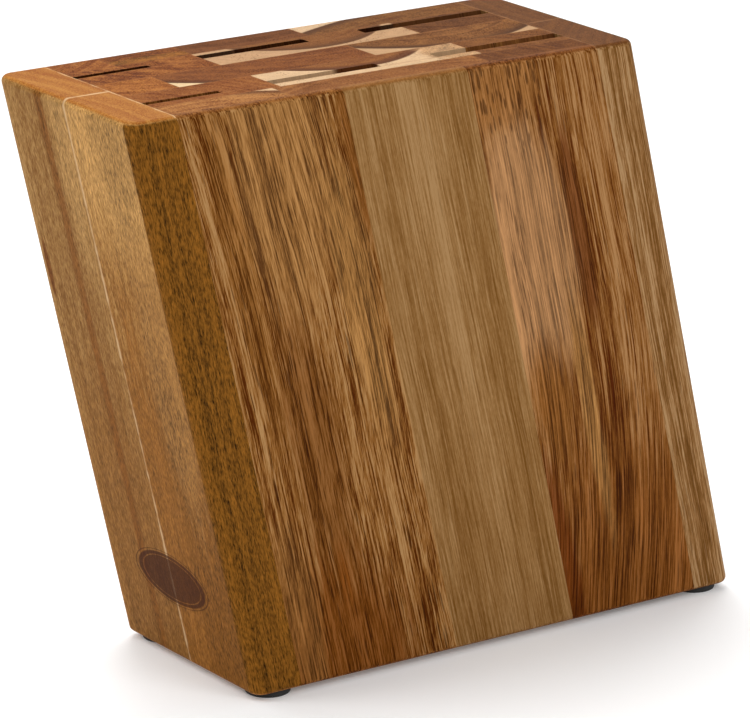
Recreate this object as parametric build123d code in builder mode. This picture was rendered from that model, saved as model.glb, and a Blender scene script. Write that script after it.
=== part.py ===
from build123d import *
import math
import os

# A leaning knife block glued up from solid hardwood staves, with six slots and four rubber feet.
#
# Frame: +Z is up and the block stands on Z = 0.  Its length runs along Y, and the top leans towards
# -Y, which is the front.  Its width runs along X: the near side is +X and the far side is -X.
# The origin is the centre of the overall box, on the surface that the block stands on.  Millimetres.

# ---------------------------------------------------------------- driving dimensions
block_height = 236.0
block_length = 234.0
block_width = 96.0
lean_shift = 54.5  # how far the top stands in front of the bottom

corner_radius = 5.5  # the four sloping edges
rim_radius = 2.5  # the edges around the top and the bottom

front_board = 21.0  # thickness of the end boards, along Y
back_board = 19.5
board_joint = 1.0  # the glue joint in each end board, this far to the near side of the middle

foot_diameter = 18.0
foot_height = 2.5
foot_edge_radius = 0.6
foot_side_inset = 11.0  # from the side of the block to the foot's centre
foot_end_inset = 12.0  # from the end of the block to the foot's centre

cutter_radius = 1.0  # rounding that the cutter leaves in the closed end of a groove

# Rows of the core, from the far side to the near side: name, thickness along X, and the joints
# between its staves, as distances from the front of the block.
rows = [
    ("row_a", 17.0, [44.0, 78.5, 133.0]),
    ("row_b_grooved", 8.5, [78.0, 171.5]),
    ("row_b_cover", 12.7, [78.0, 171.5]),
    ("row_c", 20.4, [46.0, 136.0]),
    ("row_d_grooved", 16.0, [78.0, 171.5]),
    ("row_d_cover", 4.8, [78.0, 171.5]),
    ("row_e", 12.6, [74.0, 166.0]),
    ("side_facing", 4.0, [95.0, 152.5]),
]
stave_names = {3: ["front", "middle", "back"], 4: ["front", "front_middle", "back_middle", "back"]}

# Grooves that the blades go in, milled into the near face of the two grooved panels.  A short and a
# long groove run out through an end of the panel, and the medium one starts at a joint.
# Each is its width, its run-out end and its closed end, as distances from the front of the block.
core_start = front_board
core_end = block_length - back_board
grooves = {
    "front": [(3.3, core_start, 54.5)],
    "middle": [(5.4, 78.0, 127.5), (6.2, 171.5, 154.0)],
    "back": [(6.2, core_end, 171.5)],
}

# ---------------------------------------------------------------- worked out from the above
lean = Vector(0, -lean_shift, block_height)
slope_length = lean.length
front_face = (lean_shift - block_length) / 2  # Y of the front of the block, at its bottom
far_face = -block_width / 2
base_plane = Plane.XY.offset(foot_height)


def footprint(x_low, x_high, start, end):
    """Draw a rectangle on the underside, from its X limits and its distances from the front."""
    width = x_high - x_low
    length = end - start
    with Locations(((x_low + x_high) / 2, front_face + (start + end) / 2)):
        Rectangle(width, length)


def save(piece, name):
    """Label a finished piece and write it as its own STEP file."""
    piece.part.label = name
    export_step(piece.part, f"parts/{name}.step")


os.makedirs("parts", exist_ok=True)

# ---------------------------------------------------------------- the outside of the finished block
# The block is glued up first, and then its edges are rounded, so every piece is cut to this form.
with BuildPart() as block_form:
    with BuildSketch(base_plane):
        footprint(far_face, -far_face, 0, block_length)
    extrude(amount=slope_length, dir=lean)
    fillet(block_form.edges().filter_by(Axis((0, 0, 0), lean)), radius=corner_radius)
    flat_ends = block_form.faces().filter_by(Plane.XY)
    fillet(flat_ends.edges(), radius=rim_radius)

# ---------------------------------------------------------------- end boards, two staves each
joint_x = board_joint
end_boards = [("front_board", 0, front_board), ("back_board", core_end, block_length)]
for board_name, start, end in end_boards:
    for side, x_low, x_high in [("far", far_face, joint_x), ("near", joint_x, -far_face)]:
        with BuildPart() as end_stave:
            with BuildSketch(base_plane):
                footprint(x_low, x_high, start, end)
            extrude(amount=slope_length, dir=lean)
            add(block_form.part, mode=Mode.INTERSECT)
        save(end_stave, f"{board_name}_{side}")

# ---------------------------------------------------------------- core rows and the side facing
row_low = far_face
for row_name, thickness, joints in rows:
    row_high = row_low + thickness
    ends = [core_start, *joints, core_end]
    for place, start, end in zip(stave_names[len(ends) - 1], ends[:-1], ends[1:]):
        with BuildPart() as stave:
            with BuildSketch(base_plane):
                footprint(row_low, row_high, start, end)
            extrude(amount=slope_length, dir=lean)
            add(block_form.part, mode=Mode.INTERSECT)
            if row_name.endswith("grooved"):
                for groove_width, run_out, closed_end in grooves[place]:
                    groove_floor = row_high - groove_width
                    with BuildSketch(base_plane) as groove_outline:
                        footprint(groove_floor, row_high, *sorted([run_out, closed_end]))
                        if closed_end not in (start, end):
                            floor_corners = groove_outline.vertices().group_by(Axis.X)[0]
                            side = 0 if closed_end < run_out else -1
                            fillet(floor_corners.sort_by(Axis.Y)[side], radius=cutter_radius)
                    extrude(amount=slope_length, dir=lean, both=True, mode=Mode.SUBTRACT)
        save(stave, f"{row_name}_{place}")
    row_low = row_high

# ---------------------------------------------------------------- rubber feet
foot_x = block_width / 2 - foot_side_inset
foot_rows = [
    ("front", front_face + foot_end_inset),
    ("back", front_face + block_length - foot_end_inset),
]
for end_name, foot_y in foot_rows:
    for side_name, side in [("near", 1), ("far", -1)]:
        with BuildPart() as foot:
            with BuildSketch():
                with Locations((side * foot_x, foot_y)):
                    Circle(foot_diameter / 2)
            extrude(amount=foot_height)
            fillet(foot.edges().sort_by(Axis.Z)[0], radius=foot_edge_radius)
        save(foot, f"foot_{end_name}_{side_name}")

print("overall size", block_width, block_length + lean_shift, block_height + foot_height)
print("lean in degrees", math.degrees(math.atan2(lean_shift, block_height)))
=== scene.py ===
"""Looks of a leaning knife block: oiled acacia staves glued into a block, on moulded rubber feet."""

import logging
import math
from dataclasses import dataclass, field, replace
from enum import Enum

import bpy
import numpy as np
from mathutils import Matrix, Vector

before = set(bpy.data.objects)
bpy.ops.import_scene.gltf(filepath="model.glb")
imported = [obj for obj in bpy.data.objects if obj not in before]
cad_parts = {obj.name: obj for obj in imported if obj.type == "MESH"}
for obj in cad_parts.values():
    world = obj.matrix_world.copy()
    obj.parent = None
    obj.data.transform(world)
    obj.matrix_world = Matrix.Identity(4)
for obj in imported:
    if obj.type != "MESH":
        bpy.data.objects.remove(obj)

MM = 0.001
FAR_AWAY = 1000.0  # millimetres; a limit that no point of the block reaches
SCRAPED_BACK = 9.0  # millimetres that hide an end-to-end joint on the long faces
GLUE_WANDER = 2.4  # millimetres that the edge of a glue line wanders by
GLUE_SOLID = 1.15  # millimetres within which a glue line is at its full strength
GLUE_GONE = 2.0  # millimetres past which nothing of it shows
CORE_FILM = 0.02  # specular level of the core, whose end grain drinks the oil
log = logging.getLogger("knife_block")

Tree = bpy.types.NodeTree
Node = bpy.types.Node


def linear(hex_colour: str) -> tuple[float, float, float, float]:
    """Turn an sRGB hex colour into the linear colour that shaders use.

    Args:
        hex_colour: Six hex digits, with or without a leading hash.

    Returns:
        Linear red, green and blue, and an alpha of one.
    """
    digits = hex_colour.lstrip("#")
    parts = [int(digits[i : i + 2], 16) / 255.0 for i in (0, 2, 4)]
    return tuple(c / 12.92 if c <= 0.04045 else ((c + 0.055) / 1.055) ** 2.4 for c in parts) + (1.0,)


def add_node(tree: Tree, kind: str, inputs: dict | None = None, **settings: object) -> Node:
    """Add a node to a tree, set it up and link it.

    Args:
        tree: The node tree that takes the node.
        kind: The node's Blender type.
        inputs: For each socket name or number, a value, or the output socket that feeds it.
        **settings: Attributes of the node.

    Returns:
        The new node.
    """
    node = tree.nodes.new(kind)
    for name, value in settings.items():
        setattr(node, name, value)
    for socket, value in (inputs or {}).items():
        if isinstance(value, bpy.types.NodeSocket):
            tree.links.new(value, node.inputs[socket])
        else:
            node.inputs[socket].default_value = value
    return node


class Cut(Enum):
    """Which way a face of a stave shows its grain."""

    LONG = "long grain"
    END = "end grain"


@dataclass(frozen=True)
class Grain:
    """The direction of the fibres: straight up the lean of the block.

    Attributes:
        angle: The lean, in radians from the vertical.
        front: Y of the front of the block at its underside, in millimetres.
        base: Height of the block's underside, in millimetres.
    """

    angle: float
    front: float
    base: float

    def place(self, across: float, along: float, height: float) -> tuple[float, float, float]:
        """Turn a place on the block into coordinates whose third axis runs with the fibres.

        Args:
            across: Distance from the middle of the block towards the near side, in millimetres.
            along: Distance from the front of the block, measured level, in millimetres.
            height: Height above the block's underside, in millimetres.

        Returns:
            The same place as across, along the block square to the fibres, and with the fibres.
        """
        y = self.front + along - math.tan(self.angle) * height
        z = self.base + height
        sine, cosine = math.sin(self.angle), math.cos(self.angle)
        return across, y * cosine + z * sine, z * cosine - y * sine


@dataclass(frozen=True)
class Tones:
    """Three sRGB colours of one wood, from its dark streaks to its light ones."""

    dark: str
    middle: str
    light: str


@dataclass(frozen=True)
class Patch:
    """A soft-edged area of another tone in a stave.

    Attributes:
        centre: Across, along and height, in millimetres.
        size: Half-widths in the same three directions, in millimetres.
        tone: sRGB colour that the stave's middle tone becomes there.
        strength: How far it gets there, from 0 to 1.
        edge: Raggedness and softness of the border, from 0, hard, to 1.
        contrast: How bright the darkest and the lightest streaks in it are, against its tone.
        cut: Which faces it shows on.
    """

    centre: tuple[float, float, float]
    size: tuple[float, float, float]
    tone: str
    strength: float = 0.6
    edge: float = 0.5
    contrast: tuple[float, float] = (0.3, 1.7)
    cut: Cut = Cut.LONG

    def mask(
        self, tree: Tree, place: bpy.types.NodeSocket, warped: bpy.types.NodeSocket, grain: Grain, seed: float
    ) -> bpy.types.NodeSocket:
        """How much of the patch there is: an ellipsoid whose border is pushed in and out by streaky noise.

        Args:
            tree: The material's tree.
            place: Fibre space.
            warped: Bent fibre space.
            grain: The direction of the fibres.
            seed: The stave's seed.

        Returns:
            A number from 0, outside, to the patch's strength, inside.
        """
        centre = grain.place(*self.centre)
        scale = tuple(1.0 / s for s in self.size)
        local = add_node(
            tree,
            "ShaderNodeVectorMath",
            {0: place, 1: scale, 2: tuple(-c * s for c, s in zip(centre, scale))},
            operation="MULTIPLY_ADD",
        ).outputs[0]
        reach = add_node(tree, "ShaderNodeVectorMath", {0: local}, operation="LENGTH").outputs["Value"]
        ragged = add_node(
            tree,
            "ShaderNodeMapping",
            {"Vector": warped, "Location": (seed + 9.0, 0.0, 0.0), "Scale": (0.45, 0.45, 0.025)},
        ).outputs[0]
        ragged = add_node(
            tree, "ShaderNodeTexNoise", {"Vector": ragged, "Scale": 1.0, "Detail": 4.0, "Roughness": 0.6}
        ).outputs[0]
        reach = add_node(
            tree, "ShaderNodeMath", {0: ragged, 1: 1.5 * self.edge, 2: reach}, operation="MULTIPLY_ADD"
        ).outputs[0]
        return add_node(
            tree,
            "ShaderNodeMapRange",
            {
                "Value": reach,
                "From Min": 1.0 + 0.3 * self.edge,
                "From Max": 1.02 + 1.15 * self.edge,
                "To Min": self.strength,
                "To Max": 0.0,
            },
            interpolation_type="SMOOTHSTEP",
        ).outputs[0]


@dataclass(frozen=True)
class OiledAcacia:
    """Acacia sawn into staves, sanded and oiled.

    The fibres run up the stave.  Faces along them show streaks, and vessels as short dark dashes;
    faces across them show growth rings, and the same vessels as dots.  Heartwood is brown, and the
    sapwood outside it is cream.  The oil leaves a satin surface with open pores.

    Attributes:
        face: Colours of the faces along the fibres.
        end: Colours of the faces across the fibres.
        sap: Sapwood colour.
        pith: The tree's centre, as across and along, in millimetres.
        heart_radius: Where the heartwood ends, in millimetres from the pith.
        ring: Spacing of the growth rings, in millimetres.
        wave: How far the fibres wander sideways, in millimetres.
        head_sweep: How far the fibres lean forward at the top of the stave, in millimetres.
        foot_sweep: How far the fibres lean forward at the foot of the stave, in millimetres.
        vessels: How strongly the vessels show, from 0 to 1.
        streaks: How strongly broad stripes show.
        fibres: How strongly fine fibres show.
        curl: How strongly fine slanting ticks of interlocked grain show.
        speckle: How strongly fine flecks show that have no direction.
        seed: Which part of the wood this stave was cut from.
        glue: sRGB colour of the glue line around the stave.
        glue_strength: How strongly the glue line shows, from 0 to 1.
        film: How much oil stays on the surface as a film, as a specular level.
        patches: Areas of another tone.
        open_grain: An area of coarse open vessels.
    """

    face: Tones
    end: Tones
    sap: str = "#dcb48b"
    pith: tuple[float, float] = (-120.0, 100.0)
    heart_radius: float = FAR_AWAY
    ring: float = 3.2
    wave: float = 2.0
    head_sweep: float = 0.0
    foot_sweep: float = 0.0
    vessels: float = 0.5
    streaks: float = 0.5
    fibres: float = 0.6
    curl: float = 0.0
    speckle: float = 0.15
    seed: float = 0.0
    glue: str = "#8a5a34"
    glue_strength: float = 0.35
    film: float = 0.03
    patches: tuple[Patch, ...] = ()
    open_grain: Patch | None = None

    def material(self, name: str, grain: Grain, limits: np.ndarray) -> bpy.types.Material:
        """Build the material of one stave.

        Args:
            name: The node that the stave is.
            grain: The direction of the fibres.
            limits: Lowest and highest across and along of the stave's glued faces, square to the
                fibres, in millimetres.

        Returns:
            The material.
        """
        material = bpy.data.materials.new(f"oiled acacia, {name}")
        material.use_nodes = True
        tree = material.node_tree
        tree.nodes.clear()
        place = self._fibre_space(tree, grain)
        warped = self._wander(tree, place, grain)
        radius = self._radius(tree, warped, grain)
        streaks = self._streaks(tree, warped, radius)
        vessels = self._vessels(tree, place, warped, grain)
        is_end = self._end_grain(tree)
        colour = self._heart_and_sap(tree, radius, streaks, is_end)
        for patch in self.patches:
            inside = patch.mask(tree, place, warped, grain, self.seed)
            shown = add_node(
                tree,
                "ShaderNodeMapRange",
                {
                    "Value": is_end,
                    "From Min": float(patch.cut is Cut.LONG),
                    "From Max": float(patch.cut is Cut.END),
                },
            ).outputs[0]
            inside = add_node(tree, "ShaderNodeMath", {0: inside, 1: shown}, operation="MULTIPLY").outputs[0]
            colour = self._tint(tree, patch, inside, streaks, colour)
        colour = self._glue_line(tree, place, limits, is_end, colour)
        colour = add_node(
            tree,
            "ShaderNodeMix",
            {"Factor": vessels, "A": colour, "B": linear("#2e1003")},
            data_type="RGBA",
        ).outputs["Result"]
        colour = self._finish_on(tree, place, grain, colour)
        self._surface(tree, colour, streaks, vessels)
        return material

    def _fibre_space(self, tree: Tree, grain: Grain) -> bpy.types.NodeSocket:
        """Object coordinates in millimetres, turned so that Z runs with the fibres."""
        coordinates = add_node(tree, "ShaderNodeTexCoord").outputs["Object"]
        return add_node(
            tree,
            "ShaderNodeMapping",
            {"Vector": coordinates, "Rotation": (-grain.angle, 0.0, 0.0), "Scale": (1 / MM,) * 3},
        ).outputs[0]

    def _wander(self, tree: Tree, place: bpy.types.NodeSocket, grain: Grain) -> bpy.types.NodeSocket:
        """Bend the fibres: the place plus slow noise times the wave, plus the sweeps.

        Each sweep grows with the square of the way from the middle of the stave to its end.

        Args:
            tree: The material's tree.
            place: Fibre space, in millimetres.
            grain: The direction of the fibres.

        Returns:
            The bent place.
        """
        slow = add_node(
            tree,
            "ShaderNodeMapping",
            {"Vector": place, "Location": (self.seed, 0.0, self.seed * 3.1), "Scale": (0.02, 0.02, 0.011)},
        ).outputs[0]
        noise = add_node(
            tree, "ShaderNodeTexNoise", {"Vector": slow, "Scale": 1.0, "Detail": 2.0}
        ).outputs["Color"]
        bent = add_node(
            tree,
            "ShaderNodeVectorMath",
            {0: noise, 1: (2 * self.wave, 2 * self.wave, 0.0), 2: (-self.wave, -self.wave, 0.0)},
            operation="MULTIPLY_ADD",
        ).outputs[0]
        bent = add_node(tree, "ShaderNodeVectorMath", {0: place, 1: bent}, operation="ADD").outputs[0]
        if not (self.head_sweep or self.foot_sweep):
            return bent
        up = add_node(tree, "ShaderNodeSeparateXYZ", {0: place}).outputs["Z"]
        low, high = grain.place(0.0, 117.0, 0.0)[2], grain.place(0.0, 117.0, 236.0)[2]
        for sweep, end in ((self.head_sweep, high), (self.foot_sweep, low)):
            way = add_node(
                tree,
                "ShaderNodeMapRange",
                {"Value": up, "From Min": (low + high) / 2, "From Max": end},
                clamp=False,
            ).outputs[0]
            way = add_node(tree, "ShaderNodeMath", {0: way, 1: 0.0}, operation="MAXIMUM").outputs[0]
            way = add_node(tree, "ShaderNodeMath", {0: way, 1: 2.0}, operation="POWER").outputs[0]
            way = add_node(tree, "ShaderNodeMath", {0: way, 1: sweep}, operation="MULTIPLY").outputs[0]
            way = add_node(tree, "ShaderNodeCombineXYZ", {"Y": way}).outputs[0]
            bent = add_node(tree, "ShaderNodeVectorMath", {0: bent, 1: way}, operation="ADD").outputs[0]
        return bent

    def _radius(self, tree: Tree, warped: bpy.types.NodeSocket, grain: Grain) -> bpy.types.NodeSocket:
        """Distance from the pith, in millimetres, in the plane square to the fibres."""
        across, along, _ = grain.place(self.pith[0], self.pith[1], 236.0)
        flat = add_node(
            tree,
            "ShaderNodeVectorMath",
            {0: warped, 1: (1.0, 1.0, 0.0), 2: (-across, -along, 0.0)},
            operation="MULTIPLY_ADD",
        ).outputs[0]
        return add_node(tree, "ShaderNodeVectorMath", {0: flat}, operation="LENGTH").outputs["Value"]

    def _streaks(
        self, tree: Tree, warped: bpy.types.NodeSocket, radius: bpy.types.NodeSocket
    ) -> bpy.types.NodeSocket:
        """Light and dark of the wood: growth rings, stripes, fibres, curls and flecks, added up.

        Rings are noise along the radius alone.  The others are noise squeezed across the fibres and
        stretched along them.  Fibres are really 0.1 mm wide, too fine to show, so they are drawn in
        bundles 0.5 to 0.9 mm wide.

        Args:
            tree: The material's tree.
            warped: Bent fibre space.
            radius: Distance from the pith.

        Returns:
            A number from 0, darkest, to 1, lightest.
        """
        ring_place = add_node(
            tree, "ShaderNodeMath", {0: radius, 1: 1.0 / self.ring, 2: self.seed}, operation="MULTIPLY_ADD"
        ).outputs[0]
        rings = add_node(
            tree,
            "ShaderNodeTexNoise",
            {"W": ring_place, "Scale": 1.0, "Detail": 3.0, "Roughness": 0.6},
            noise_dimensions="1D",
        ).outputs[0]
        total = add_node(
            tree, "ShaderNodeMath", {0: rings, 1: 0.9, 2: 0.05}, operation="MULTIPLY_ADD"
        ).outputs[0]
        # Each layer: how far apart its streaks are across and along the fibres in millimetres, its slant
        # as sideways drift for each millimetre up, and its weight.
        layers = (
            ((10.0, 240.0), 0.0, 0.8 * self.streaks),
            ((3.0, 150.0), 0.01, 0.5 * self.streaks),
            ((0.8, 62.0), 0.0, 1.0 * self.fibres),
            ((0.6, 24.0), 0.01, 1.1 * self.fibres),
            ((0.7, 8.0), -0.2, 0.8 * self.curl),
            ((4.0, 40.0), -0.12, 0.5 * self.curl),
            ((0.6, 2.6), 0.0, 1.0 * self.speckle),
        )
        for number, ((across, along), slant, weight) in enumerate(layers):
            if not weight:
                continue
            slanted = add_node(
                tree,
                "ShaderNodeMapping",
                {
                    "Vector": warped,
                    "Location": (self.seed * 17.0 + 13.0 * number, self.seed * 9.0, 50.0 * self.seed),
                    "Rotation": (math.atan(slant), 0.0, 0.0),
                    "Scale": (across, across, along),
                },
                vector_type="TEXTURE",
            ).outputs[0]
            noise = add_node(
                tree, "ShaderNodeTexNoise", {"Vector": slanted, "Scale": 1.0, "Detail": 2.0, "Roughness": 0.6}
            ).outputs[0]
            centred = add_node(tree, "ShaderNodeMath", {0: noise, 1: -0.5}, operation="ADD").outputs[0]
            total = add_node(
                tree, "ShaderNodeMath", {0: centred, 1: 2.0 * weight, 2: total}, operation="MULTIPLY_ADD"
            ).outputs[0]
        return add_node(tree, "ShaderNodeClamp", {"Value": total}).outputs[0]

    def _dashes(
        self,
        tree: Tree,
        warped: bpy.types.NodeSocket,
        spacing: tuple[float, float],
        crowding: tuple[float, float],
    ) -> bpy.types.NodeSocket:
        """Vessels: the middles of cells stretched along the fibres, larger where slow noise crowds them.

        Args:
            tree: The material's tree.
            warped: Bent fibre space.
            spacing: How far apart vessels are across and along the fibres, in millimetres.
            crowding: Vessel reach, as a part of a cell, where vessels are few and where they are many.

        Returns:
            How much vessel shows, from 0 to 1.
        """
        across, along = spacing
        cells = add_node(
            tree,
            "ShaderNodeMapping",
            {"Vector": warped, "Location": (self.seed * 11.0,) * 3, "Scale": (across, across, along)},
            vector_type="TEXTURE",
        ).outputs[0]
        distance = add_node(
            tree, "ShaderNodeTexVoronoi", {"Vector": cells, "Scale": 1.0, "Randomness": 1.0}, feature="F1"
        ).outputs["Distance"]
        crowd = add_node(
            tree,
            "ShaderNodeMapping",
            {"Vector": warped, "Location": (self.seed * 7.0, 3.0, 7.0), "Scale": (8.0, 8.0, 70.0)},
            vector_type="TEXTURE",
        ).outputs[0]
        crowd = add_node(
            tree, "ShaderNodeTexNoise", {"Vector": crowd, "Scale": 1.0, "Detail": 1.0}
        ).outputs[0]
        reach = add_node(
            tree,
            "ShaderNodeMapRange",
            {
                "Value": crowd,
                "From Min": 0.35,
                "From Max": 0.65,
                "To Min": crowding[0],
                "To Max": crowding[1],
            },
        ).outputs[0]
        inside = add_node(tree, "ShaderNodeMath", {0: reach, 1: distance}, operation="SUBTRACT").outputs[0]
        return add_node(
            tree, "ShaderNodeMapRange", {"Value": inside, "From Min": 0.0, "From Max": 0.12}
        ).outputs[0]

    def _vessels(
        self, tree: Tree, place: bpy.types.NodeSocket, warped: bpy.types.NodeSocket, grain: Grain
    ) -> bpy.types.NodeSocket:
        """Open vessels, some 0.4 mm wide and 6 mm long, and coarser ones in the open grain.

        Args:
            tree: The material's tree.
            place: Fibre space.
            warped: Bent fibre space.
            grain: The direction of the fibres.

        Returns:
            How much vessel shows, from 0 to 1.
        """
        fine = self._dashes(tree, warped, (1.2, 20.0), (0.05, 0.36))
        fine = add_node(tree, "ShaderNodeMath", {0: fine, 1: self.vessels}, operation="MULTIPLY").outputs[0]
        if self.open_grain is None:
            return fine
        coarse = self._dashes(tree, warped, (1.7, 9.0), (0.30, 0.46))
        area = self.open_grain.mask(tree, place, warped, grain, self.seed)
        coarse = add_node(tree, "ShaderNodeMath", {0: coarse, 1: area}, operation="MULTIPLY").outputs[0]
        return add_node(tree, "ShaderNodeMath", {0: fine, 1: coarse}, operation="MAXIMUM").outputs[0]

    def _ramp(self, tree: Tree, tones: Tones, value: bpy.types.NodeSocket) -> bpy.types.NodeSocket:
        """A colour between the three tones."""
        ramp = add_node(tree, "ShaderNodeValToRGB", {"Fac": value})
        stops = ramp.color_ramp.elements
        stops[0].position, stops[0].color = 0.15, linear(tones.dark)
        stops[1].position, stops[1].color = 0.85, linear(tones.light)
        middle = stops.new(0.5)
        middle.color = linear(tones.middle)
        return ramp.outputs["Color"]

    def _end_grain(self, tree: Tree) -> bpy.types.NodeSocket:
        """One on level faces, which are cut across the fibres, and zero on upright ones."""
        normal = add_node(tree, "ShaderNodeNewGeometry").outputs["Normal"]
        upright = add_node(tree, "ShaderNodeSeparateXYZ", {0: normal}).outputs["Z"]
        upright = add_node(tree, "ShaderNodeMath", {0: upright}, operation="ABSOLUTE").outputs[0]
        return add_node(
            tree,
            "ShaderNodeMapRange",
            {"Value": upright, "From Min": 0.45, "From Max": 0.8},
            interpolation_type="SMOOTHSTEP",
        ).outputs[0]

    def _heart_and_sap(
        self,
        tree: Tree,
        radius: bpy.types.NodeSocket,
        streaks: bpy.types.NodeSocket,
        is_end: bpy.types.NodeSocket,
    ) -> bpy.types.NodeSocket:
        """Wood colour: heartwood inside the heart radius and sapwood outside it.

        End grain drinks more oil than faces along the fibres, so it is darker and redder.

        Args:
            tree: The material's tree.
            radius: Distance from the pith.
            streaks: Light and dark of the wood.
            is_end: Where the faces are end grain.

        Returns:
            The colour.
        """
        colours = {}
        for cut, tones in ((Cut.LONG, self.face), (Cut.END, self.end)):
            colours[cut] = self._ramp(tree, tones, streaks)
        soaked = add_node(
            tree, "ShaderNodeVectorMath", {0: colours[Cut.END], 1: (0.58, 0.47, 0.28)}, operation="MULTIPLY"
        ).outputs[0]
        heart = add_node(
            tree, "ShaderNodeMix", {"Factor": is_end, "A": colours[Cut.LONG], "B": soaked}, data_type="RGBA"
        ).outputs["Result"]
        if self.heart_radius >= FAR_AWAY:
            return heart
        outside = add_node(
            tree,
            "ShaderNodeMapRange",
            {"Value": radius, "From Min": self.heart_radius - 0.7, "From Max": self.heart_radius + 0.7},
            interpolation_type="SMOOTHSTEP",
        ).outputs[0]
        # The last heartwood rings are a little darker.
        border = add_node(
            tree,
            "ShaderNodeMapRange",
            {"Value": radius, "From Min": self.heart_radius - 7.0, "From Max": self.heart_radius - 1.0},
            interpolation_type="SMOOTHSTEP",
        ).outputs[0]
        heart = add_node(
            tree,
            "ShaderNodeMix",
            {"Factor": border, "A": heart, "B": tuple(0.5 * c for c in linear(self.end.dark))},
            data_type="RGBA",
        ).outputs["Result"]
        red, green, blue, _ = linear(self.sap)
        sap_tones = add_node(
            tree, "ShaderNodeMapRange", {"Value": streaks, "To Min": 0.54, "To Max": 0.74}
        ).outputs[0]
        sap = add_node(
            tree, "ShaderNodeVectorMath", {0: (red, green, blue), "Scale": sap_tones}, operation="SCALE"
        ).outputs[0]
        return add_node(
            tree, "ShaderNodeMix", {"Factor": outside, "A": heart, "B": sap}, data_type="RGBA"
        ).outputs["Result"]

    def _tint(
        self,
        tree: Tree,
        patch: Patch,
        inside: bpy.types.NodeSocket,
        streaks: bpy.types.NodeSocket,
        colour: bpy.types.NodeSocket,
    ) -> bpy.types.NodeSocket:
        """Tint a patch: its tone, darker and lighter with the streaks.

        Args:
            tree: The material's tree.
            patch: The patch.
            inside: How much of the patch there is.
            streaks: Light and dark of the wood.
            colour: The colour so far.

        Returns:
            The new colour.
        """
        depth = add_node(
            tree,
            "ShaderNodeMapRange",
            {"Value": streaks, "To Min": patch.contrast[0], "To Max": patch.contrast[1]},
        ).outputs[0]
        tinted = add_node(
            tree, "ShaderNodeVectorMath", {0: linear(patch.tone)[:3], "Scale": depth}, operation="SCALE"
        ).outputs[0]
        return add_node(
            tree, "ShaderNodeMix", {"Factor": inside, "A": colour, "B": tinted}, data_type="RGBA"
        ).outputs["Result"]

    def _glue_line(
        self,
        tree: Tree,
        place: bpy.types.NodeSocket,
        limits: np.ndarray,
        is_end: bpy.types.NodeSocket,
        colour: bpy.types.NodeSocket,
    ) -> bpy.types.NodeSocket:
        """Draw a thin line of glue where the stave meets its neighbours.

        The line is where the distance to the nearest glued face, plus a slow wander, is small, so it
        thickens, thins and breaks as squeezed glue does.  Joints between one stave and the next along
        the block are scraped clean on the long faces, so they show on end grain alone.

        Args:
            tree: The material's tree.
            place: Fibre space.
            limits: Lowest and highest across and along of the glued faces.
            is_end: Where the faces are end grain.
            colour: The colour so far.

        Returns:
            The new colour.
        """
        (low_across, low_along), (high_across, high_along) = limits
        above = add_node(
            tree, "ShaderNodeVectorMath", {0: place, 1: (low_across, low_along, 0.0)}, operation="SUBTRACT"
        ).outputs[0]
        below = add_node(
            tree, "ShaderNodeVectorMath", {0: (high_across, high_along, 0.0), 1: place}, operation="SUBTRACT"
        ).outputs[0]
        nearest = add_node(tree, "ShaderNodeVectorMath", {0: above, 1: below}, operation="MINIMUM").outputs[0]
        nearest = add_node(tree, "ShaderNodeSeparateXYZ", {0: nearest})
        scraped = add_node(
            tree, "ShaderNodeMapRange", {"Value": is_end, "To Min": SCRAPED_BACK, "To Max": 0.0}
        ).outputs[0]
        ends = add_node(
            tree, "ShaderNodeMath", {0: nearest.outputs["Y"], 1: scraped}, operation="ADD"
        ).outputs[0]
        nearest = add_node(
            tree, "ShaderNodeMath", {0: nearest.outputs["X"], 1: ends}, operation="MINIMUM"
        ).outputs[0]
        wobble = add_node(
            tree, "ShaderNodeTexNoise", {"Vector": place, "Scale": 0.12, "Detail": 3.0}
        ).outputs[0]
        nearest = add_node(
            tree, "ShaderNodeMath", {0: wobble, 1: GLUE_WANDER, 2: nearest}, operation="MULTIPLY_ADD"
        ).outputs[0]
        line = add_node(
            tree,
            "ShaderNodeMapRange",
            {
                "Value": nearest,
                "From Min": GLUE_SOLID,
                "From Max": GLUE_GONE,
                "To Min": self.glue_strength,
                "To Max": 0.0,
            },
        ).outputs[0]
        return add_node(
            tree, "ShaderNodeMix", {"Factor": line, "A": colour, "B": linear(self.glue)}, data_type="RGBA"
        ).outputs["Result"]

    def _finish_on(
        self, tree: Tree, place: bpy.types.NodeSocket, grain: Grain, colour: bpy.types.NodeSocket
    ) -> bpy.types.NodeSocket:
        """What is done to the wood after it is oiled; a plain stave has nothing more."""
        return colour

    def _surface(
        self,
        tree: Tree,
        colour: bpy.types.NodeSocket,
        streaks: bpy.types.NodeSocket,
        vessels: bpy.types.NodeSocket,
    ) -> None:
        """Satin oiled surface: vessels and fibres as fine relief, and vessels duller than the rest.

        Args:
            tree: The material's tree.
            colour: The finished colour.
            streaks: Light and dark of the wood, used as fibre relief.
            vessels: How much vessel shows.
        """
        relief = add_node(
            tree, "ShaderNodeMath", {0: vessels, 1: -1.6, 2: streaks}, operation="MULTIPLY_ADD"
        ).outputs[0]
        bump = add_node(
            tree, "ShaderNodeBump", {"Height": relief, "Strength": 0.4, "Distance": 0.12 * MM}
        ).outputs[0]
        gloss = add_node(
            tree, "ShaderNodeMapRange", {"Value": vessels, "To Min": 0.52, "To Max": 0.8}
        ).outputs[0]
        shader = add_node(
            tree,
            "ShaderNodeBsdfPrincipled",
            {
                "Base Color": colour,
                "Roughness": gloss,
                "Normal": bump,
                "IOR": 1.48,
                "Specular IOR Level": self.film,
            },
        )
        add_node(tree, "ShaderNodeOutputMaterial", {"Surface": shader.outputs[0]})


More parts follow.
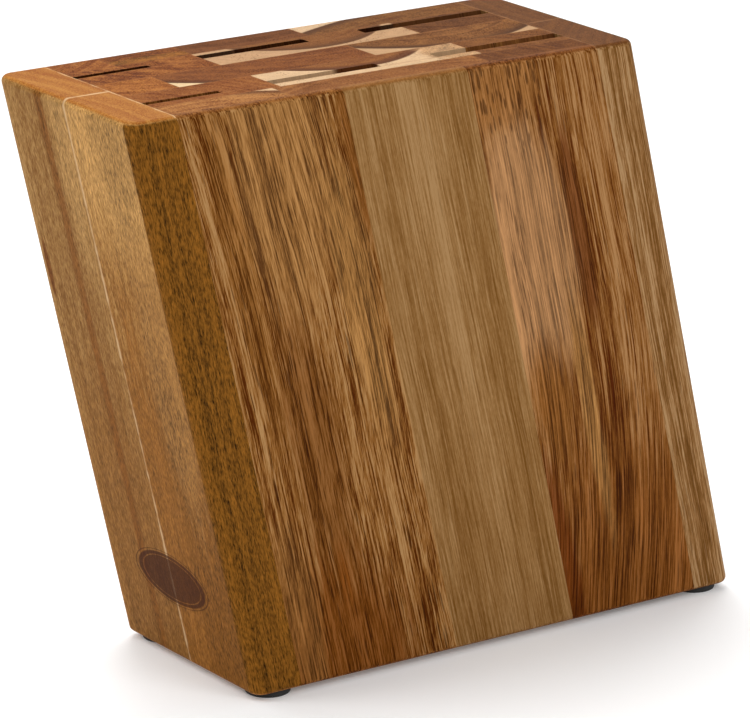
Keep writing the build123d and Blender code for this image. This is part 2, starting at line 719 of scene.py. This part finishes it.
@dataclass(frozen=True)
class BrandedAcacia(OiledAcacia):
    """Oiled acacia with a plain oval burnt into it: a filled oval inside a thin ring.

    Attributes:
        mark_centre: Across, along and height of the oval's centre, in millimetres.
        mark_size: Half the width and half the height of the filled oval, in millimetres.
    """

    mark_centre: tuple[float, float, float] = (0.9, 0.0, 36.8)
    mark_size: tuple[float, float] = (23.9, 10.5)

    def _finish_on(
        self, tree: Tree, place: bpy.types.NodeSocket, grain: Grain, colour: bpy.types.NodeSocket
    ) -> bpy.types.NodeSocket:
        """Burn the oval: dark where its own radius is under one, and along a thin ring outside it."""
        across, along, up = grain.place(*self.mark_centre)
        half_width, half_height = self.mark_size
        scale = (1.0 / half_width, 0.0, 1.0 / (half_height / math.cos(grain.angle)))
        local = add_node(
            tree,
            "ShaderNodeVectorMath",
            {0: place, 1: scale, 2: (-across * scale[0], 0.0, -up * scale[2])},
            operation="MULTIPLY_ADD",
        ).outputs[0]
        reach = add_node(tree, "ShaderNodeVectorMath", {0: local}, operation="LENGTH").outputs["Value"]
        scorch = add_node(
            tree, "ShaderNodeTexNoise", {"Vector": place, "Scale": 1.3, "Detail": 2.0}
        ).outputs[0]
        reach = add_node(
            tree, "ShaderNodeMath", {0: scorch, 1: 0.03, 2: reach}, operation="MULTIPLY_ADD"
        ).outputs[0]
        filled = add_node(
            tree,
            "ShaderNodeMapRange",
            {"Value": reach, "From Min": 0.99, "From Max": 1.03, "To Min": 1.0, "To Max": 0.0},
        ).outputs[0]
        from_ring = add_node(tree, "ShaderNodeMath", {0: reach, 1: 1.085}, operation="SUBTRACT").outputs[0]
        from_ring = add_node(tree, "ShaderNodeMath", {0: from_ring}, operation="ABSOLUTE").outputs[0]
        ring = add_node(
            tree,
            "ShaderNodeMapRange",
            {"Value": from_ring, "From Min": 0.008, "From Max": 0.022, "To Min": 0.8, "To Max": 0.0},
        ).outputs[0]
        burnt = add_node(tree, "ShaderNodeMath", {0: filled, 1: ring}, operation="MAXIMUM").outputs[0]
        from_line = add_node(tree, "ShaderNodeMath", {0: reach, 1: 0.87}, operation="SUBTRACT").outputs[0]
        from_line = add_node(tree, "ShaderNodeMath", {0: from_line}, operation="ABSOLUTE").outputs[0]
        spared = add_node(
            tree,
            "ShaderNodeMapRange",
            {"Value": from_line, "From Min": 0.008, "From Max": 0.024, "To Min": 0.35},
        ).outputs[0]
        burnt = add_node(tree, "ShaderNodeMath", {0: burnt, 1: spared}, operation="MULTIPLY").outputs[0]
        on_front = add_node(tree, "ShaderNodeSeparateXYZ", {0: place}).outputs["Y"]
        on_front = add_node(
            tree, "ShaderNodeMath", {0: on_front, 1: along + 0.5}, operation="LESS_THAN"
        ).outputs[0]
        depth = add_node(
            tree, "ShaderNodeMapRange", {"Value": scorch, "To Min": 0.7, "To Max": 0.98}
        ).outputs[0]
        burnt = add_node(tree, "ShaderNodeMath", {0: burnt, 1: on_front}, operation="MULTIPLY").outputs[0]
        burnt = add_node(tree, "ShaderNodeMath", {0: burnt, 1: depth}, operation="MULTIPLY").outputs[0]
        return add_node(
            tree, "ShaderNodeMix", {"Factor": burnt, "A": colour, "B": linear("#3a1502")}, data_type="RGBA"
        ).outputs["Result"]


@dataclass(frozen=True)
class MouldedRubber:
    """Black rubber moulded in a spark-eroded tool: dead black, with a fine matt grain of about 0.4 mm."""

    colour: str = "#141312"
    grain: float = 0.4  # millimetres

    def material(self, name: str) -> bpy.types.Material:
        """Build the material.

        Args:
            name: The node that the foot is.

        Returns:
            The material.
        """
        material = bpy.data.materials.new(f"moulded rubber, {name}")
        material.use_nodes = True
        tree = material.node_tree
        tree.nodes.clear()
        coordinates = add_node(tree, "ShaderNodeTexCoord").outputs["Object"]
        noise = add_node(
            tree,
            "ShaderNodeTexNoise",
            {"Vector": coordinates, "Scale": 1.0 / (self.grain * MM), "Detail": 2.0},
        ).outputs[0]
        bump = add_node(
            tree, "ShaderNodeBump", {"Height": noise, "Strength": 0.4, "Distance": 0.05 * MM}
        ).outputs[0]
        rough = add_node(
            tree, "ShaderNodeMapRange", {"Value": noise, "To Min": 0.62, "To Max": 0.85}
        ).outputs[0]
        tone = add_node(
            tree,
            "ShaderNodeMix",
            {"Factor": noise, "A": linear(self.colour), "B": linear("#23211f")},
            data_type="RGBA",
        ).outputs["Result"]
        shader = add_node(
            tree,
            "ShaderNodeBsdfPrincipled",
            {"Base Color": tone, "Roughness": rough, "Normal": bump, "IOR": 1.52},
        )
        add_node(tree, "ShaderNodeOutputMaterial", {"Surface": shader.outputs[0]})
        return material


def corners(node: str) -> np.ndarray:
    """The vertices of a CAD node, in millimetres."""
    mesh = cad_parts[node].data
    points = np.empty(len(mesh.vertices) * 3, np.float32)
    mesh.vertices.foreach_get("co", points)
    return points.reshape(-1, 3) / MM


def block_grain() -> Grain:
    """Work out the lean from a stave that has square ends: its top stands in front of its bottom."""
    points = corners("row_c_middle")
    heights = points[:, 2]
    low, high = points[heights < heights.min() + 0.01], points[heights > heights.max() - 0.01]
    rise = heights.max() - heights.min()
    lean = math.atan((low[:, 1].min() - high[:, 1].min()) / rise)
    front_points = corners("front_board_near")
    base = heights.min()
    square = front_points[:, 1] + math.tan(lean) * (front_points[:, 2] - base)
    return Grain(angle=lean, front=float(square.min()), base=float(base))


def glued_limits(node: str, grain: Grain, outside: np.ndarray) -> np.ndarray:
    """Limits of a stave's glued faces, with the outside faces of the block pushed out of reach.

    Args:
        node: The stave.
        grain: The direction of the fibres.
        outside: Lowest and highest across and along of the whole block.

    Returns:
        Lowest and highest across and along, in millimetres.
    """
    points = corners(node)
    along = points[:, 1] * math.cos(grain.angle) + points[:, 2] * math.sin(grain.angle)
    own = np.array([[points[:, 0].min(), along.min()], [points[:, 0].max(), along.max()]])
    own[0] = np.where(own[0] < outside[0] + 1.0, -FAR_AWAY, own[0])
    own[1] = np.where(own[1] > outside[1] - 1.0, FAR_AWAY, own[1])
    return own


@dataclass
class Timber:
    """A sub-assembly of staves, each with its own wood."""

    title: str
    finishes: dict[str, OiledAcacia] = field(default_factory=dict)

    def dress(self, grain: Grain, outside: np.ndarray) -> None:
        """Give every stave its wood.

        Args:
            grain: The direction of the fibres.
            outside: Lowest and highest across and along of the whole block.
        """
        for node, finish in self.finishes.items():
            limits = glued_limits(node, grain, outside)
            wood = finish.material(node, grain, limits)
            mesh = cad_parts[node].data
            mesh.materials.clear()
            mesh.materials.append(wood)
            log.info("%s: %s dressed", self.title, node)


@dataclass
class Feet:
    """The moulded rubber feet."""

    finish: MouldedRubber = MouldedRubber()

    def dress(self) -> None:
        """Give every foot its rubber."""
        for node in sorted(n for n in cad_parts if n.startswith("foot_")):
            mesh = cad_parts[node].data
            mesh.materials.clear()
            mesh.materials.append(self.finish.material(node))
            log.info("feet: %s dressed", node)


GOLD_END = Tones("#a9682f", "#c08549", "#d9a566")
BROWN = Tones("#4a2209", "#6f431d", "#92632f")


def end_boards() -> Timber:
    """The front and back end boards."""
    honey = Tones("#6f4618", "#8b6333", "#a57e4c")
    pale = Tones("#80511a", "#9a6d37", "#b58b52")
    tan = Tones("#6a441a", "#8c6338", "#a9855c")
    tan_end = Tones("#694322", "#7b5231", "#8c613c")
    # A dark band down the rounded near corner of the front: partly painted shade of the rounding, partly the
    # wood's own colour.
    near_corner_painted_shade = Patch((47.0, 10.0, 118.0), (4.2, 300.0, 900.0), "#6c4413", 1.0, 0.06, (0.05, 2.1))
    return Timber(
        "end boards",
        {
            "front_board_far": BrandedAcacia(
                honey, GOLD_END, pith=(10.0, -160.0), ring=7.0,
                vessels=0.1, streaks=0.2, fibres=0.2, speckle=0.85,
                seed=1.0, glue="#cbaa80", glue_strength=0.75, film=0.03,
                patches=(
                    Patch((-6.0, 0.0, 225.0), (7.0, 40.0, 60.0), "#a67e4a", 0.8, 0.9),
                    Patch((-20.0, 0.0, 10.0), (60.0, 40.0, 120.0), "#7a4e1c", 0.7, 0.9),
                    Patch((-18.0, 0.0, 150.0), (2.6, 40.0, 230.0), "#744413", 0.75, 0.9),
                    Patch((-40.5, 0.0, 158.0), (1.7, 40.0, 13.0), "#633408", 0.9, 0.5),
                ),
            ),
            "front_board_near": BrandedAcacia(
                pale, GOLD_END, pith=(30.0, -120.0), ring=8.0,
                vessels=0.1, streaks=0.12, fibres=0.2, curl=0.2,
                speckle=0.9, seed=2.3, glue="#cbaa80", glue_strength=0.75, film=0.03,
                patches=(
                    Patch((20.0, 0.0, 10.0), (60.0, 19.0, 165.0), "#794a14", 0.85, 0.9),
                    Patch((30.0, 0.0, 232.0), (40.0, 19.0, 56.0), "#b0854d", 0.85, 0.9),
                    Patch((32.0, 0.0, 130.0), (12.0, 19.0, 62.0), "#a07440", 0.55, 0.9),
                    near_corner_painted_shade,
                ),
            ),
            "back_board_far": OiledAcacia(
                tan, tan_end, pith=(-20.0, 380.0), ring=4.0, seed=3.7, vessels=0.3, streaks=0.3, fibres=0.6,
                speckle=0.2, glue="#a87c55",
            ),
            "back_board_near": OiledAcacia(
                tan, tan_end, pith=(120.0, 330.0), ring=4.0, seed=4.1, vessels=0.3, streaks=0.25, fibres=0.75,
                curl=0.35, speckle=0.25, glue="#a87c55",
            ),
        },
    )


def side_facing() -> Timber:
    """The thin long-grain boards glued over the near side of the core."""
    return Timber(
        "side facing",
        {
            "side_facing_front": OiledAcacia(
                Tones("#4f2200", "#8a5a27", "#ab8151"), Tones("#7a4a24", "#9c6a3e", "#b98555"),
                pith=(70.0, 10.0), ring=4.5, wave=2.0, head_sweep=4.0, vessels=0.6, streaks=0.3, fibres=0.75,
                curl=0.5, speckle=0.2, seed=5.5,
                patches=(
                    Patch((48.0, 50.0, 95.0), (30.0, 12.0, 62.0), "#65380c", 0.7, 0.9),
                    Patch((48.0, 44.0, 0.0), (60.0, 34.0, 50.0), "#673403", 0.8, 0.8),
                    Patch((48.0, 94.0, 215.0), (30.0, 3.2, 42.0), "#6f3f10", 0.75, 0.5),
                    Patch((48.0, 28.0, 30.0), (30.0, 8.0, 42.0), "#8c5f2f", 0.5, 0.8),
                    Patch((48.0, 60.0, 205.0), (30.0, 24.0, 50.0), "#936737", 0.6, 0.9),
                    Patch((48.0, 84.0, 150.0), (30.0, 8.0, 60.0), "#966a38", 0.7, 0.9),
                    Patch((48.0, 34.0, 170.0), (30.0, 6.0, 70.0), "#754613", 0.5, 0.8),
                ),
            ),
            "side_facing_middle": OiledAcacia(
                Tones("#6f481b", "#8b6437", "#a47f53"), Tones("#8a6240", "#a4774c", "#b98a5e"),
                pith=(110.0, 125.0), ring=3.0, wave=1.5, vessels=0.12, streaks=0.3, fibres=0.5, speckle=0.25,
                seed=6.9,
            ),
            "side_facing_back": OiledAcacia(
                Tones("#4e1e00", "#835322", "#a77b4e"), Tones("#6a3c1c", "#86552f", "#a06c42"),
                pith=(75.0, 215.0), ring=4.0, wave=2.0,
                foot_sweep=16.0, vessels=0.5, streaks=0.5, fibres=0.75,
                speckle=0.2, seed=8.2,
                patches=(
                    Patch((48.0, 187.0, 4.0), (30.0, 40.0, 74.0), "#6f3c0c", 0.7, 0.9, (0.2, 1.9)),
                    Patch((48.0, 153.0, 16.0), (30.0, 7.0, 56.0), "#5c2600", 0.75, 0.6),
                    Patch((48.0, 180.0, 95.0), (30.0, 4.0, 60.0), "#a2743f", 0.6, 0.7),
                    Patch((48.0, 166.0, 160.0), (30.0, 20.0, 54.0), "#a1754c", 0.9, 0.6, (0.45, 1.55)),
                    Patch((48.0, 163.0, 95.0), (30.0, 8.0, 26.0), "#7d4c1b", 0.7, 0.8),
                    Patch((48.0, 190.5, 165.0), (30.0, 4.0, 44.0), "#5c2d0a", 0.8, 0.5),
                    Patch((48.0, 166.0, 226.0), (30.0, 19.0, 16.0), "#8a5a2c", 0.6, 0.6),
                ),
                open_grain=Patch((48.0, 168.0, 224.0), (30.0, 20.0, 26.0), "#6a3812", 0.6, 0.7),
            ),
        },
    )


def panel_pair(
    row: str, staves: dict[str, OiledAcacia], slot_wall_shade: tuple[Patch, ...] = ()
) -> dict[str, OiledAcacia]:
    """Give a grooved panel and its cover the same wood, because they were sawn from the same staves.

    Args:
        row: The row's name.
        staves: The wood of the row's front, middle and back staves.
        slot_wall_shade: Painted shade on the knife-slot walls, as dark patches on the grooved panel alone.

    Returns:
        The wood of the row's nodes.
    """
    covers = {f"{row}_cover_{place}": wood for place, wood in staves.items()}
    grooved = {
        f"{row}_grooved_{place}": replace(wood, patches=wood.patches + slot_wall_shade)
        for place, wood in staves.items()
    }
    return covers | grooved


def core_rows() -> list[Timber]:
    """The rows of the core, from the far side to the near side."""
    row_a = {
        "row_a_front": OiledAcacia(
            BROWN, Tones("#743a14", "#a0653a", "#bf8857"), pith=(-90.0, -10.0), ring=3.0, seed=11.0
        ),
        "row_a_front_middle": OiledAcacia(
            BROWN, Tones("#5f3315", "#824c2a", "#a8703f"), pith=(-20.0, 60.0), ring=4.0, seed=12.0,
            patches=(Patch((-35.0, 60.0, 236.0), (3.5, 30.0, 900.0), "#7c4e1d", 0.8, 0.5, cut=Cut.END),),
        ),
        "row_a_back_middle": OiledAcacia(
            BROWN, Tones("#68401f", "#7e5136", "#8e6042"), pith=(-140.0, 110.0), ring=5.0, seed=13.0
        ),
        "row_a_back": OiledAcacia(
            Tones("#54300f", "#7d5024", "#9c6f3f"), Tones("#6f4527", "#865e3c", "#a07650"), sap="#dfba92",
            pith=(145.6, 218.5), heart_radius=200.0, ring=4.0, wave=1.0, seed=14.0,
        ),
    }
    row_b = panel_pair(
        "row_b",
        {
            "front": OiledAcacia(
                BROWN, Tones("#643011", "#92592f", "#bb8250"), pith=(-60.0, 95.0),
                ring=4.5, streaks=0.7, seed=21.0
            ),
            "middle": OiledAcacia(
                BROWN, Tones("#7a4c29", "#906341", "#a4764f"), sap="#cda176", pith=(-54.5, 130.5),
                heart_radius=42.8, ring=4.0, wave=0.8, seed=22.0,
            ),
            "back": OiledAcacia(
                BROWN, Tones("#52300f", "#744b2c", "#875c3a"), pith=(-100.0, 240.0), ring=4.0, seed=23.0
            ),
        },
        # Painted shade: dark patches on the walls of this far row's knife slots, standing in for the shadow
        # inside them.
        slot_wall_shade=(
            Patch((-24.0, 37.7, 236.0), (3.0, 40.0, 900.0), "#2a1004", 0.9, 0.02),
            Patch((-25.2, 102.7, 236.0), (4.0, 45.0, 900.0), "#2a1004", 0.9, 0.02),
            Patch((-25.6, 184.2, 236.0), (4.4, 50.0, 900.0), "#2a1004", 0.9, 0.02),
        ),
    )
    row_c = {
        "row_c_front": OiledAcacia(
            BROWN, Tones("#834a1f", "#ab6f3d", "#c98e58"), pith=(-60.0, 60.0), ring=3.5, seed=31.0
        ),
        "row_c_middle": OiledAcacia(
            BROWN, Tones("#724224", "#8d5935", "#a26c43"), sap="#f5d3a2", pith=(-89.1, 125.7),
            heart_radius=120.0, ring=5.0, wave=0.8, seed=32.0,
        ),
        "row_c_back": OiledAcacia(
            BROWN, Tones("#684021", "#8a5f3c", "#a67a52"), sap="#cfa478", pith=(-48.5, 179.5),
            heart_radius=62.2, ring=4.0, wave=0.8, seed=33.0,
        ),
    }
    row_d = panel_pair(
        "row_d",
        {
            "front": OiledAcacia(
                BROWN, Tones("#7c431b", "#a0673b", "#ba8356"), pith=(60.0, -20.0), ring=3.5, seed=41.0
            ),
            "middle": OiledAcacia(
                BROWN, Tones("#784524", "#93613c", "#a8764d"), sap="#e6bf93", pith=(-21.2, 124.5),
                heart_radius=45.0, ring=4.0, wave=0.8, seed=42.0,
                # Painted shade: a darker patch on the sapwood of the top towards the back, where that part
                # lies in more shade.
                patches=(Patch((20.0, 164.0, 236.0), (14.0, 12.0, 900.0), "#9c754e", 0.8, 0.6, cut=Cut.END),),
            ),
            "back": OiledAcacia(
                BROWN, Tones("#683d1d", "#895c38", "#9e704a"), pith=(-60.0, 260.0), ring=4.0, seed=43.0
            ),
        },
    )
    row_e = {
        "row_e_front": OiledAcacia(
            BROWN, Tones("#8a552c", "#b47f55", "#cf9f72"),
            sap="#ebc193", pith=(94.6, 35.0), heart_radius=70.0,
            ring=3.5, wave=0.6, seed=51.0,
        ),
        "row_e_middle": OiledAcacia(
            BROWN, Tones("#7e4f2a", "#9c6a44", "#b5835c"), pith=(140.0, 120.0), ring=4.0, seed=52.0
        ),
        "row_e_back": OiledAcacia(
            BROWN, Tones("#5c3413", "#7b4f2d", "#8f603b"), pith=(0.0, 300.0), ring=4.0, seed=53.0
        ),
    }
    rows = {
        "core row a": row_a,
        "core row b": row_b,
        "core row c": row_c,
        "core row d": row_d,
        "core row e": row_e,
    }
    return [
        Timber(title, {node: replace(wood, film=CORE_FILM) for node, wood in finishes.items()})
        for title, finishes in rows.items()
    ]


@dataclass
class Studio:
    """A pale floor, soft lights and the camera."""

    azimuth: float = 55.18  # degrees from the front towards the near side
    elevation: float = 17.08  # degrees above level
    distance: float = 1.961  # metres, from the aim point
    lens: float = 237.76  # millimetres, on a 36 mm sensor
    aim: tuple[float, float, float] = (0.0, 0.0, 0.120)
    slide: tuple[float, float] = (-0.00099, -0.00804)  # camera's own right and up, in metres

    def camera(self) -> None:
        """Create the camera, looking down at the corner between the front and the near side."""
        turn, rise = math.radians(self.azimuth), math.radians(self.elevation)
        back = Vector((math.sin(turn) * math.cos(rise), -math.cos(turn) * math.cos(rise), math.sin(rise)))
        rotation = back.to_track_quat("Z", "Y")
        right, up = rotation @ Vector((1, 0, 0)), rotation @ Vector((0, 1, 0))
        data = bpy.data.cameras.new("camera")
        data.lens, data.sensor_width = self.lens, 36.0
        data.clip_end = 20.0
        eye = bpy.data.objects.new("camera", data)
        eye.rotation_euler = rotation.to_euler()
        eye.location = Vector(self.aim) + back * self.distance + right * self.slide[0] + up * self.slide[1]
        bpy.context.scene.collection.objects.link(eye)
        bpy.context.scene.camera = eye

    def softbox(self, name: str, place: Vector, size: float, power: float, tint: str) -> None:
        """Add a square soft light that faces the block.

        Args:
            name: The light's name.
            place: Where it stands, in metres.
            size: Its side, in metres.
            power: Its power, in watts.
            tint: Its sRGB colour.
        """
        data = bpy.data.lights.new(name, "AREA")
        data.shape, data.size, data.energy = "SQUARE", size, power
        data.color = linear(tint)[:3]
        lamp = bpy.data.objects.new(name, data)
        lamp.location = place
        lamp.rotation_euler = (place - Vector(self.aim)).to_track_quat("Z", "Y").to_euler()
        bpy.context.scene.collection.objects.link(lamp)

    def floor(self) -> None:
        """Lay a plain white sheet that rises behind the block in a smooth curve."""
        half, back, radius = 4.0, 3.5, 1.2
        turn = np.linspace(0.0, math.pi / 2, 25)
        run = np.concatenate([[-half], back + radius * np.sin(turn), [back + radius]])
        rise = np.concatenate([[0.0], radius * (1 - np.cos(turn)), [4.0]])
        heading = math.radians(self.azimuth)
        away = np.array([-math.sin(heading), math.cos(heading)])
        beside = np.array([away[1], -away[0]])
        width = np.array([-half, half])
        flat = run[:, None, None] * away + width[None, :, None] * beside
        heights = np.broadcast_to(rise[:, None, None], (len(run), 2, 1))
        points = np.concatenate([flat, heights], axis=2).reshape(-1, 3)
        step = np.arange(len(run) - 1) * 2
        faces = np.stack([step, step + 2, step + 3, step + 1], axis=1)
        mesh = bpy.data.meshes.new("floor")
        mesh.from_pydata(points.tolist(), [], faces.tolist())
        mesh.shade_smooth()
        sheet = bpy.data.objects.new("floor", mesh)
        bpy.context.scene.collection.objects.link(sheet)
        paper = bpy.data.materials.new("matt white paper")
        paper.use_nodes = True
        shader = paper.node_tree.nodes["Principled BSDF"]
        shader.inputs["Base Color"].default_value = linear("#f4f4f4")
        shader.inputs["Roughness"].default_value = 0.9
        shader.inputs["Emission Color"].default_value = linear("#ffffff")
        shader.inputs["Emission Strength"].default_value = 0.14  # the sheet is lit a little from below
        mesh.materials.append(paper)

    def build(self) -> None:
        """Set up the whole studio."""
        scene = bpy.context.scene
        scene.view_settings.view_transform = "Standard"
        world = bpy.data.worlds.new("studio")
        world.use_nodes = True
        world.node_tree.nodes["Background"].inputs["Color"].default_value = linear("#ffffff")
        world.node_tree.nodes["Background"].inputs["Strength"].default_value = 0.5
        scene.world = world
        self.camera()
        self.floor()
        self.softbox("overhead", Vector((-0.35, -0.1, 1.25)), 0.9, 8.5, "#ffffff")
        self.softbox("front", Vector((-0.30, -0.95, 1.0)), 0.5, 4.8, "#ffffff")
        self.softbox("side", Vector((1.1, 0.1, 0.95)), 0.6, 5.0, "#ffffff")
        self.softbox("rear", Vector((-1.1, 0.8, 1.7)), 1.4, 14.0, "#ffffff")
        log.info("studio built")


def main() -> None:
    """Build the looks of the whole knife block."""
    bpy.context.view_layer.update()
    grain = block_grain()
    points = np.concatenate([corners(n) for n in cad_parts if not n.startswith("foot_")])
    along = points[:, 1] * math.cos(grain.angle) + points[:, 2] * math.sin(grain.angle)
    outside = np.array([[points[:, 0].min(), along.min()], [points[:, 0].max(), along.max()]])
    Studio().build()
    for timber in [end_boards(), side_facing(), *core_rows()]:
        timber.dress(grain, outside)
    Feet().dress()


if __name__ == "__main__":
    logging.basicConfig(level=logging.INFO, format="%(message)s")
    main()
